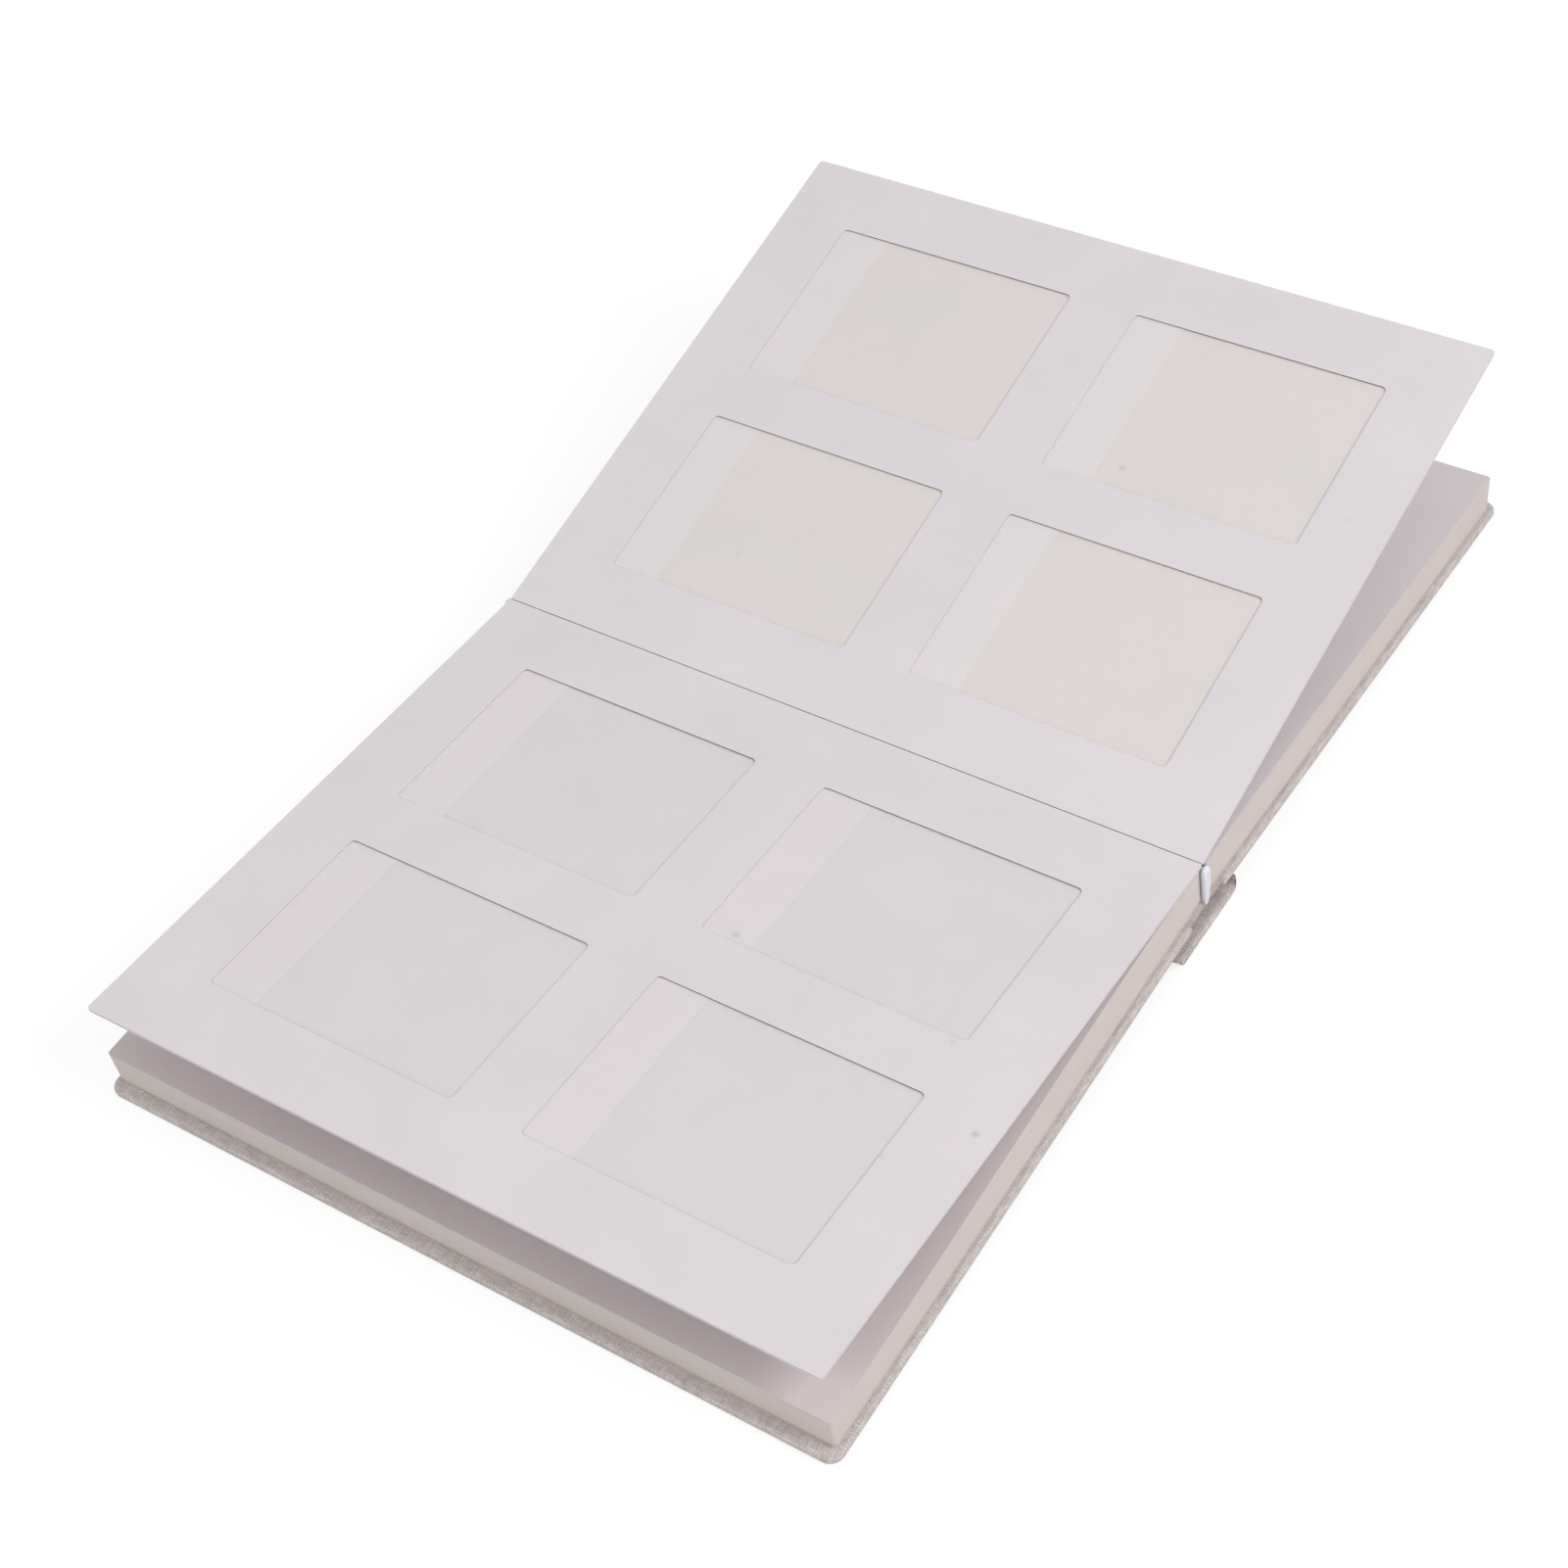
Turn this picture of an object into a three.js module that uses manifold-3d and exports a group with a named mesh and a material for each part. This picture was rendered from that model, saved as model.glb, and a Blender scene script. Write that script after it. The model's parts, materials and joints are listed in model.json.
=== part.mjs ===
// A small linen-covered photo album, lying open at its middle.
// Millimetres, +Z up. +X runs from the left page to the right page, +Y from tail to head.
// The origin is under the middle of the spine, on the surface that the album lies on.

import * as THREE from 'three';
import { mergeVertices } from 'three/addons/utils/BufferGeometryUtils.js';
import Module from 'manifold-3d';

const wasm = await Module();
wasm.setup();

// Pages
const pageHeight = 196;
const pageWidth = 157.5;
const stackThickness = 9.8;
const pageCornerRadius = 1.6;

// Windows: two rows and two columns on every page, centred on the page
const windowLength = 69.4;
const windowWidth = 51;
const windowGapAlong = 18.6;
const windowGapAcross = 16.4;
const windowCornerRadius = 2.2;
const windowRecess = 0.3;

// Raised leaves: layers from the bottom up, and how far each leaf stands above level
const leftLeafAngle = 2.75;
const rightLeafAngle = 12.7;
const backCardThickness = 0.22;
const coreThickness = 0.12;
const stripThickness = 0.05;
const filmThickness = 0.05;
const frontCardThickness = 0.24;
const layerGap = 0.03;
const leafGutterGap = 0.4;
const pocketMarginAlong = 7.6;
const pocketMarginAcross = 5.2;
const stripShare = 0.2;

// Cover: boards wrapped in cloth, a little larger than the pages
const boardThickness = 1.8;
const clothThickness = 0.3;
const clothCornerRadius = 3.2;
const clothEdgeRadius = 1.1;
const squareForeEdge = 3.2;
const squareHeadTail = 1.6;
const turnIn = 14;
const jointWidth = 8;
const pasteGap = 0.1;
const endpaperThickness = 0.25;

// Block backs: each half block stops short of the fold, with its lining and headbands on its back
const backOffset = 1.5;
const liningThickness = 0.3;
const liningShort = 6;
const headbandRadius = 0.62;
const headbandReach = 9;
const headbandThickness = 0.2;
const headbandTopGap = 0.4;

// Spine
const spineBoardThickness = 2.0;
const spineLinerThickness = 0.3;
const spineClearance = 0.2;
const spineEdgeRadius = 1.1;
const flangeBulge = 2.2;
const flangeHeight = 6.3;

// How far each half slopes down from the fold to its outer edge
const halfSlope = 2.65;

// What follows from the sizes above
const rad = THREE.MathUtils.degToRad;
const leafThickness = backCardThickness + coreThickness + stripThickness
  + filmThickness + frontCardThickness + 4 * layerGap;
const leafRoom = leafThickness + 0.1;
const coverThickness = boardThickness + 2 * clothThickness + 2 * pasteGap;
const stackTop = leafRoom;
const stackBottom = stackTop + stackThickness;
const endpaperTop = stackBottom + pasteGap;
const coverTop = endpaperTop + endpaperThickness + pasteGap;
const coverBottom = coverTop + coverThickness;
const coverHeight = pageHeight + 2 * squareHeadTail;
const coverEdge = pageWidth + squareForeEdge;
const slope = rad(halfSlope);
const foldHeight = coverBottom * Math.cos(slope) + coverEdge * Math.sin(slope);
const spineHalfWidth = coverBottom - spineClearance;
const windowFirst = (pageWidth - 2 * windowWidth - windowGapAcross) / 2;

// Materials
function material(color, roughness) {
  return new THREE.MeshStandardMaterial({ color, roughness, metalness: 0 });
}

const linen = material(0xcabfb8, 0.92);
const whiteCard = material(0xdcd7db, 0.75);
const pageBlock = material(0xd6cfc8, 0.8);
const greyboard = material(0x9d968c, 0.95);
const endpaperPaper = material(0xe0dbd8, 0.8);
const liningCloth = material(0xd9d4cb, 0.95);
const bandCloth = material(0xe9e8f0, 0.6);
const linerPaper = material(0xc4b8ae, 0.9);
const stripPaper = material(0xe4dfde, 0.7);
const clearFilm = new THREE.MeshStandardMaterial({
  color: 0xdcd6d4, roughness: 0.25, metalness: 0, transparent: true, opacity: 0.35,
});

// A rectangle with rounded corners, as a closed outline
function roundedOutline(path, x0, x1, y0, y1, radius) {
  const r = Math.min(radius, (x1 - x0) / 2, (y1 - y0) / 2);
  path.moveTo(x0 + r, y0);
  path.lineTo(x1 - r, y0);
  path.absarc(x1 - r, y0 + r, r, -Math.PI / 2, 0, false);
  path.lineTo(x1, y1 - r);
  path.absarc(x1 - r, y1 - r, r, 0, Math.PI / 2, false);
  path.lineTo(x0 + r, y1);
  path.absarc(x0 + r, y1 - r, r, Math.PI / 2, Math.PI, false);
  path.lineTo(x0, y0 + r);
  path.absarc(x0 + r, y0 + r, r, Math.PI, 1.5 * Math.PI, false);
  return path;
}

// A flat plate with rounded corners, and holes given as { x0, x1, y0, y1 }
function plate(x0, x1, y0, y1, z0, z1, radius, holes = [], holeRadius = 0) {
  const shape = roundedOutline(new THREE.Shape(), x0, x1, y0, y1, radius);
  for (const h of holes) {
    shape.holes.push(roundedOutline(new THREE.Path(), h.x0, h.x1, h.y0, h.y1, holeRadius));
  }
  const geometry = new THREE.ExtrudeGeometry(shape, {
    depth: z1 - z0, bevelEnabled: false, curveSegments: 5,
  });
  geometry.translate(0, 0, z0);
  return geometry;
}

// A plate whose upper and lower edges are rounded too
function softPlate(x0, x1, y0, y1, z0, z1, radius, edge) {
  const shape = roundedOutline(
    new THREE.Shape(), x0 + edge, x1 - edge, y0 + edge, y1 - edge, radius - edge,
  );
  const geometry = new THREE.ExtrudeGeometry(shape, {
    depth: z1 - z0 - 2 * edge,
    bevelEnabled: true,
    bevelThickness: edge,
    bevelSize: edge,
    bevelSegments: 4,
    curveSegments: 5,
  });
  geometry.translate(0, 0, z0 + edge);
  return geometry;
}

function box(x0, x1, y0, y1, z0, z1) {
  const geometry = new THREE.BoxGeometry(x1 - x0, y1 - y0, z1 - z0);
  geometry.translate((x0 + x1) / 2, (y0 + y1) / 2, (z0 + z1) / 2);
  return geometry;
}

// Turns a closed geometry into a solid that can be cut and joined, and back
function toSolid(geometry) {
  const bare = geometry.clone();
  bare.deleteAttribute('normal');
  bare.deleteAttribute('uv');
  const merged = mergeVertices(bare, 1e-5);
  return new wasm.Manifold(new wasm.Mesh({
    numProp: 3,
    vertProperties: new Float32Array(merged.attributes.position.array),
    triVerts: new Uint32Array(merged.index.array),
  }));
}

function toGeometry(solid) {
  const mesh = solid.getMesh();
  const geometry = new THREE.BufferGeometry();
  geometry.setAttribute('position', new THREE.BufferAttribute(mesh.vertProperties, 3));
  geometry.setIndex(new THREE.BufferAttribute(mesh.triVerts, 1));
  geometry.computeVertexNormals();
  return geometry;
}

function named(name, geometry, surface) {
  const mesh = new THREE.Mesh(geometry, surface);
  mesh.name = name;
  return mesh;
}

// The x range that lies from u0 to u1 away from the fold, on one side of it
function span(side, u0, u1) {
  return side > 0 ? [u0, u1] : [-u1, -u0];
}

// The four windows of a page, with their edges moved out by the margins
function windowPlaces(side, marginAcross, marginAlong) {
  const places = [];
  for (const row of [0, 1]) {
    for (const end of [1, -1]) {
      const u0 = windowFirst + row * (windowWidth + windowGapAcross);
      const [x0, x1] = span(side, u0 - marginAcross, u0 + windowWidth + marginAcross);
      const near = windowGapAlong / 2;
      const far = near + windowLength;
      places.push({
        label: `${row === 0 ? 'inner' : 'outer'}_${end > 0 ? 'head' : 'tail'}`,
        x0,
        x1,
        y0: (end > 0 ? near : -far) - marginAlong,
        y1: (end > 0 ? far : -near) + marginAlong,
      });
    }
  }
  return places;
}

// A half block of pages: one solid, with the shallow windows of its top page
function pageStack(side) {
  const [x0, x1] = span(side, backOffset, pageWidth);
  let solid = toSolid(plate(
    x0, x1, -pageHeight / 2, pageHeight / 2, -stackBottom, -stackTop, pageCornerRadius,
  ));
  for (const w of windowPlaces(side, 0, 0)) {
    solid = solid.subtract(toSolid(plate(
      w.x0, w.x1, w.y0, w.y1, -stackTop - windowRecess, -stackTop + 1, windowCornerRadius,
    )));
  }
  return toGeometry(solid);
}

// Cover cloth: it wraps the board's outside and three edges, and turns in on the inside.
// Beside the fold it is cut off square at the board's edge, where the joint begins.
function coverCloth(side) {
  const half = coverHeight / 2;
  const past = jointWidth - 2 * clothEdgeRadius;
  const [x0, x1] = span(side, past, coverEdge);
  const [b0, b1] = span(side, past - clothEdgeRadius, coverEdge - clothThickness);
  const [w0, w1] = span(side, past - clothEdgeRadius, coverEdge - turnIn);
  const [c0, c1] = span(side, past - 2 * clothEdgeRadius, jointWidth);
  const outer = toSolid(softPlate(
    x0, x1, -half, half, -coverBottom, -coverTop, clothCornerRadius, clothEdgeRadius,
  ));
  const cavity = toSolid(softPlate(
    b0, b1, -half + clothThickness, half - clothThickness,
    -coverBottom + clothThickness, -coverTop - clothThickness,
    clothCornerRadius - clothThickness, clothEdgeRadius - clothThickness,
  ));
  const inside = toSolid(box(
    w0, w1, -half + turnIn, half - turnIn,
    -coverTop - clothThickness - pasteGap, -coverTop + 1,
  ));
  const beside = toSolid(box(c0, c1, -half - 1, half + 1, -coverBottom - 1, -coverTop + 1));
  return toGeometry(outer.subtract(cavity).subtract(inside).subtract(beside));
}

function coverBoard(side) {
  const skin = clothThickness + pasteGap;
  const half = coverHeight / 2 - skin;
  const [x0, x1] = span(side, jointWidth, coverEdge - skin);
  return softPlate(
    x0, x1, -half, half, -coverBottom + skin, -coverTop - skin,
    clothCornerRadius - skin, clothEdgeRadius - skin,
  );
}

// Endpaper: pasted to the inside of the board and to the block, and bridging the joint
function endpaper(side) {
  const [x0, x1] = span(side, backOffset, pageWidth);
  const half = pageHeight / 2;
  const top = -endpaperTop;
  return plate(x0, x1, -half, half, top - endpaperThickness, top, pageCornerRadius);
}

// Lining glued to the back of the half block
function backLining(side) {
  const u1 = backOffset - pasteGap;
  const [x0, x1] = span(side, u1 - liningThickness, u1);
  const half = pageHeight / 2 - liningShort - headbandReach;
  return box(x0, x1, -half, half, -stackBottom, -stackTop);
}

// Headband: a ribbon on the block's back whose rolled edge stands over the end of the pages
function headband(side, end) {
  const edge = pageHeight / 2 + pasteGap;
  const u1 = backOffset - pasteGap;
  const [x0, x1] = span(side, u1 - headbandThickness, u1);
  const [y0, y1] = end > 0
    ? [edge - headbandReach, edge + headbandRadius]
    : [-edge - headbandRadius, -edge + headbandReach];
  const ribbon = toSolid(box(x0, x1, y0, y1, -stackBottom, -headbandTopGap));
  const roll = new THREE.CylinderGeometry(
    headbandRadius, headbandRadius, stackBottom - headbandTopGap, 16,
  );
  roll.rotateX(Math.PI / 2);
  roll.translate(
    side * (u1 - headbandThickness + headbandRadius),
    end * (edge + headbandRadius),
    -(stackBottom + headbandTopGap) / 2,
  );
  return toGeometry(ribbon.add(toSolid(roll)));
}

// A raised leaf: two cards with a core between them, and a film pocket behind each window
function raisedLeaf(side, sideName, angle) {
  const leaf = new THREE.Group();
  leaf.rotation.y = -side * rad(angle);
  const half = pageHeight / 2;
  const [x0, x1] = span(side, leafGutterGap, pageWidth);
  const coreBottom = backCardThickness + layerGap;
  const stripBottom = coreBottom + coreThickness + layerGap;
  const filmBottom = stripBottom + stripThickness + layerGap;
  const frontBottom = filmBottom + filmThickness + layerGap;
  const holes = windowPlaces(side, 0, 0);

  leaf.add(named(`${sideName}_leaf_back_card`, plate(
    x0, x1, -half, half, 0, backCardThickness, pageCornerRadius,
  ), whiteCard));
  leaf.add(named(`${sideName}_leaf_core`, plate(
    x0, x1, -half, half, coreBottom, coreBottom + coreThickness, pageCornerRadius,
  ), whiteCard));
  leaf.add(named(`${sideName}_leaf_front_card`, plate(
    x0, x1, -half, half, frontBottom, frontBottom + frontCardThickness,
    pageCornerRadius, holes, windowCornerRadius,
  ), whiteCard));

  for (const p of windowPlaces(side, pocketMarginAcross, pocketMarginAlong)) {
    leaf.add(named(`${sideName}_pocket_film_${p.label}`, plate(
      p.x0, p.x1, p.y0, p.y1, filmBottom, filmBottom + filmThickness, windowCornerRadius,
    ), clearFilm));
    const step = p.y1 - pocketMarginAlong - stripShare * windowLength;
    leaf.add(named(`${sideName}_pocket_strip_${p.label}`, plate(
      p.x0, p.x1, step, p.y1, stripBottom, stripBottom + stripThickness, 0.5,
    ), stripPaper));
  }
  return leaf;
}

function halfAlbum(side, sideName, leafAngle) {
  const half = new THREE.Group();
  half.position.z = foldHeight;
  const body = new THREE.Group();
  body.rotation.y = side * slope;
  body.add(named(`${sideName}_cover_board`, coverBoard(side), greyboard));
  body.add(named(`${sideName}_cover_cloth`, coverCloth(side), linen));
  body.add(named(`${sideName}_endpaper`, endpaper(side), endpaperPaper));
  body.add(named(`${sideName}_page_stack`, pageStack(side), pageBlock));
  body.add(named(`${sideName}_back_lining`, backLining(side), liningCloth));
  body.add(named(`${sideName}_headband_head`, headband(side, 1), bandCloth));
  body.add(named(`${sideName}_headband_tail`, headband(side, -1), bandCloth));
  half.add(body);
  half.add(raisedLeaf(side, sideName, leafAngle));
  return half;
}

// The outside of the spine cloth in section: flat below, round at the board's edges,
// then bulging out a little in the joint on its way up to the cover board
function spineOutside(side) {
  const curve = new THREE.CurvePath();
  const w = spineHalfWidth;
  const r = spineEdgeRadius;
  const at = (x, z) => new THREE.Vector2(side * x, z);
  curve.add(new THREE.LineCurve(at(0, 0), at(w - r, 0)));
  curve.add(new THREE.QuadraticBezierCurve(at(w - r, 0), at(w, 0), at(w, r)));
  curve.add(new THREE.CubicBezierCurve(
    at(w, r),
    at(w + 0.2 * flangeBulge, 0.4 * flangeHeight),
    at(w + flangeBulge, 0.6 * flangeHeight),
    at(w + flangeBulge, flangeHeight),
  ));
  const points = [];
  for (const piece of curve.curves) {
    const steps = piece instanceof THREE.LineCurve ? 1 : 7;
    for (const p of piece.getPoints(steps).slice(points.length ? 1 : 0)) {
      points.push(p);
    }
  }
  return points;
}

// The same line moved inwards by the cloth's thickness
function movedIn(points, distance, side) {
  return points.map((p, i) => {
    const before = points[Math.max(i - 1, 0)];
    const after = points[Math.min(i + 1, points.length - 1)];
    const along = after.clone().sub(before).normalize();
    return new THREE.Vector2(
      p.x - side * along.y * distance,
      p.y + side * along.x * distance,
    );
  });
}

function spineCloth() {
  const right = spineOutside(1);
  const left = spineOutside(-1);
  const outside = [...left].reverse().concat(right.slice(1));
  const rightIn = movedIn(right, clothThickness, 1);
  const leftIn = movedIn(left, clothThickness, -1);
  const inside = [...rightIn].reverse().concat(leftIn.slice(1));
  const band = new THREE.ExtrudeGeometry(new THREE.Shape(outside.concat(inside)), {
    depth: coverHeight, bevelEnabled: false,
  });
  band.rotateX(Math.PI / 2);
  band.translate(0, coverHeight / 2, 0);
  const w = spineHalfWidth - spineEdgeRadius;
  const top = clothThickness + spineBoardThickness;
  let solid = toSolid(band);
  for (const end of [1, -1]) {
    const outer = end * coverHeight / 2;
    const wall = outer - end * clothThickness;
    const inner = outer - end * turnIn;
    const sorted = (a, b) => [Math.min(a, b), Math.max(a, b)];
    solid = solid.add(toSolid(box(-w, w, ...sorted(outer, wall), 0, top + clothThickness)));
    solid = solid.add(toSolid(box(-w, w, ...sorted(outer, inner), top, top + clothThickness)));
  }
  return toGeometry(solid);
}

function spine() {
  const group = new THREE.Group();
  const w = spineHalfWidth - spineEdgeRadius;
  const half = coverHeight / 2 - clothThickness;
  const top = clothThickness + spineBoardThickness;
  const linerHalf = coverHeight / 2 - turnIn - pasteGap;
  group.add(named('spine_cloth', spineCloth(), linen));
  group.add(named('spine_board', box(-w, w, -half, half, clothThickness, top), greyboard));
  group.add(named('spine_liner', box(
    -w, w, -linerHalf, linerHalf, top, top + spineLinerThickness,
  ), linerPaper));
  return group;
}

const album = new THREE.Group();
album.add(spine());
album.add(halfAlbum(1, 'right', rightLeafAngle));
album.add(halfAlbum(-1, 'left', leftLeafAngle));

export default album;
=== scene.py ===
# The looks of a small linen-covered photo album that lies open at its middle.
# Metres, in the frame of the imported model: +X to the right page, +Y to the head, +Z up.

import json
import math
import random

import bmesh
import bpy
from mathutils import Matrix, Vector


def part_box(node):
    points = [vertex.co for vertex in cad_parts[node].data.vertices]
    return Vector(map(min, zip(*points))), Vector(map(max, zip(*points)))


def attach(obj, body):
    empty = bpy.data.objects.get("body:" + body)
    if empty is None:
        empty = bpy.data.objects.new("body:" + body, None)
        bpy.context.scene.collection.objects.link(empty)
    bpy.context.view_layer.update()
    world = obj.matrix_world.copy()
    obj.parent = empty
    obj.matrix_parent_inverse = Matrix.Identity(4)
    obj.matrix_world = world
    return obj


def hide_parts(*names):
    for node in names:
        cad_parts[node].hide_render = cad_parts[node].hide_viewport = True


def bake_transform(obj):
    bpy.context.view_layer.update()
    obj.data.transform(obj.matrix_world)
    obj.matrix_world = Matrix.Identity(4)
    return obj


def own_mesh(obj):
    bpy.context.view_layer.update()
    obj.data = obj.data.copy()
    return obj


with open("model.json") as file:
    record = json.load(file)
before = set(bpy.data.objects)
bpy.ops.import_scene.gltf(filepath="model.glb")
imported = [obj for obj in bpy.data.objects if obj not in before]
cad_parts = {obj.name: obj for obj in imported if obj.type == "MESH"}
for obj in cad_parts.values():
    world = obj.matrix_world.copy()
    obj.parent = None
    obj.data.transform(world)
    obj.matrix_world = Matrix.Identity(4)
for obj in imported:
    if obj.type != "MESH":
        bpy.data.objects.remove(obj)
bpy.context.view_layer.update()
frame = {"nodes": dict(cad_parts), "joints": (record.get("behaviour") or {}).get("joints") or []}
MM = 0.001
random.seed(7)

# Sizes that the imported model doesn't give by itself
POCKET_MARGIN_ALONG = 7.6 * MM
POCKET_MARGIN_ACROSS = 5.2 * MM
WINDOW_RADIUS = 1.4 * MM
LEAF_RADIUS = 1.0 * MM
PAGE_RADIUS = 0.8 * MM
FOLD_RADIUS = 0.2 * MM
LEAF_NEAR = {"right": 0.3 * MM, "left": 0.15 * MM}
COVER_RADIUS = 3.4 * MM
COVER_EDGE = 1.15 * MM
COVER_INNER_RADIUS = 1.2 * MM
SPINE_BOARD_EDGE = 1.1 * MM
SPINE_CORNER = (3.2 * MM, 2.5 * MM)
SPINE_END = 1.0 * MM
CLOTH = 0.3 * MM
LEAF_PITCH = 0.82 * MM
LEAF_GAP = 0.012 * MM
TOP_LEAF_GAP = 0.16 * MM
BOTTOM_GAP = 0.3 * MM
TOP_CARD = 0.24 * MM
LEAF_STRAY = 0.04 * MM
BAND_WIDE = 0.72 * MM
BAND_DEEP = 0.7 * MM
BAND_HALF_SPREAD = 0.78 * MM
BAND_FOOT = 1.15 * MM
BAND_REACH = 9 * MM
BAND_SEAM = 0.07 * MM
THREAD_PITCH = 0.42 * MM

# How the pages under each raised leaf swell near the fold: u and rise of the top page, in mm
SWELL = {
    "right": ((0, 0.80), (6, 0.9), (20, 1.2), (45, 1.4), (75, 1.2), (105, 0.7), (135, 0.2),
              (150, 0)),
    "left": ((0, 0.85), (8, 1.45), (15, 1.9), (24, 2.3), (40, 2.4), (65, 2.0), (95, 1.2),
             (125, 0.4), (150, 0)),
}

SIDES = {"right": 1, "left": -1}
LABELS = ("inner_head", "inner_tail", "outer_head", "outer_tail")


# Places in the frame
def joint_named(name):
    return next(j for j in frame["joints"] if j["name"] == name)


FOLD = joint_named("cover_fold")["pos_m"][2]
SLOPE = math.radians(joint_named("right_half_fold")["range_deg"][1] - 90)


def tilt_of(name, side):
    """How far a flat node stands above level, from the normal of its largest face."""
    face = max(frame["nodes"][name].data.polygons, key=lambda p: p.area)
    n = face.normal if face.normal.z > 0 else -face.normal
    return math.atan2(-side * n.x, n.z)


def place(side, tilt, u, y, n):
    """A point u away from the fold along a leaf or half, and n above its plane."""
    c, s = math.cos(tilt), math.sin(tilt)
    return Vector((side * (u * c - n * s), y, FOLD + u * s + n * c))


def span(name, side, tilt):
    """The lowest and highest u, y and n of a node in the plane of its leaf or half."""
    c, s = math.cos(tilt), math.sin(tilt)
    found = []
    for v in frame["nodes"][name].data.vertices:
        x, z = side * v.co.x, v.co.z - FOLD
        found.append((x * c + z * s, v.co.y, -x * s + z * c))
    low = [min(f[i] for f in found) for i in range(3)]
    high = [max(f[i] for f in found) for i in range(3)]
    return low, high


# Materials
def new_material(name, slots):
    m = bpy.data.materials.new(name)
    m.use_nodes = True
    nodes = m.node_tree.nodes
    shader = nodes["Principled BSDF"]
    for key, value in slots.items():
        shader.inputs[key].default_value = value
    return m, nodes, m.node_tree.links, shader


def srgb(r, g, b):
    """A linear colour from the usual 0 to 255 values."""
    def channel(v):
        v = v / 255
        return v / 12.92 if v <= 0.04045 else ((v + 0.055) / 1.055) ** 2.4
    return (channel(r), channel(g), channel(b), 1.0)


def node(nodes, kind, **settings):
    made = nodes.new(kind)
    for key, value in settings.items():
        setattr(made, key, value)
    return made


def maths(nodes, links, operation, *values):
    """A Math node fed with numbers and sockets."""
    made = nodes.new("ShaderNodeMath")
    made.operation = operation
    for i, v in enumerate(values):
        if isinstance(v, bpy.types.NodeSocket):
            links.new(v, made.inputs[i])
        else:
            made.inputs[i].default_value = v
    return made.outputs[0]


def noise(nodes, links, vector, scale, detail=2.0, roughness=0.5):
    made = node(nodes, "ShaderNodeTexNoise")
    made.inputs["Scale"].default_value = scale
    made.inputs["Detail"].default_value = detail
    made.inputs["Roughness"].default_value = roughness
    links.new(vector, made.inputs["Vector"])
    return made.outputs["Fac"]


def scaled(nodes, links, vector, factors):
    made = node(nodes, "ShaderNodeVectorMath", operation="MULTIPLY")
    links.new(vector, made.inputs[0])
    made.inputs[1].default_value = factors
    return made.outputs[0]


def ramp(nodes, links, factor, low, high, dark, light):
    """A colour between dark and light as the factor goes from low to high."""
    made = node(nodes, "ShaderNodeMapRange")
    made.inputs["From Min"].default_value = low
    made.inputs["From Max"].default_value = high
    links.new(factor, made.inputs["Value"])
    mix = node(nodes, "ShaderNodeMix", data_type="RGBA")
    links.new(made.outputs[0], mix.inputs["Factor"])
    mix.inputs[6].default_value = dark
    mix.inputs[7].default_value = light
    return mix.outputs[2]


def multiply(nodes, links, a, b, share=1.0):
    mix = node(nodes, "ShaderNodeMix", data_type="RGBA", blend_type="MULTIPLY")
    mix.inputs["Factor"].default_value = share
    for socket, value in ((mix.inputs[6], a), (mix.inputs[7], b)):
        if isinstance(value, bpy.types.NodeSocket):
            links.new(value, socket)
        else:
            socket.default_value = value
    return mix.outputs[2]


def bump(nodes, links, shader, height, distance, strength):
    made = node(nodes, "ShaderNodeBump")
    made.inputs["Distance"].default_value = distance
    made.inputs["Strength"].default_value = strength
    links.new(height, made.inputs["Height"])
    links.new(made.outputs[0], shader.inputs["Normal"])


def paper(name, dark, light, roughness, specks=()):
    """Smooth card: soft clouding, short fibres, fine tooth, and faint specks where given."""
    m, nodes, links, shader = new_material(
        name, {"Roughness": roughness, "Specular IOR Level": 0.3},
    )
    where = node(nodes, "ShaderNodeTexCoord").outputs["Object"]
    cloud = noise(nodes, links, where, 38, 3.0)
    colour = ramp(nodes, links, cloud, 0.3, 0.7, dark, light)
    fibre = noise(nodes, links, scaled(nodes, links, where, (1.0, 3.2, 1.0)), 620, 3.0, 0.65)
    tone = ramp(
        nodes, links, fibre, 0.25, 0.75,
        (0.985, 0.985, 0.985, 1.0), (1.01, 1.01, 1.01, 1.0),
    )
    colour = multiply(nodes, links, colour, tone)
    for at, radius, depth in specks:
        apart = node(nodes, "ShaderNodeVectorMath", operation="DISTANCE")
        links.new(where, apart.inputs[0])
        apart.inputs[1].default_value = at
        tint = (1 - depth, 1 - depth * 0.8, 1 - depth * 0.6, 1.0)
        spot = ramp(
            nodes, links, apart.outputs["Value"], radius * 0.3, radius,
            tint, (1.0, 1.0, 1.0, 1.0),
        )
        colour = multiply(nodes, links, colour, spot)
    links.new(colour, shader.inputs["Base Color"])
    tooth = noise(nodes, links, where, 2600, 2.0)
    height = maths(nodes, links, "MULTIPLY_ADD", fibre, 0.5, tooth)
    bump(nodes, links, shader, height, 0.00003, 0.3)
    return m


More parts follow.
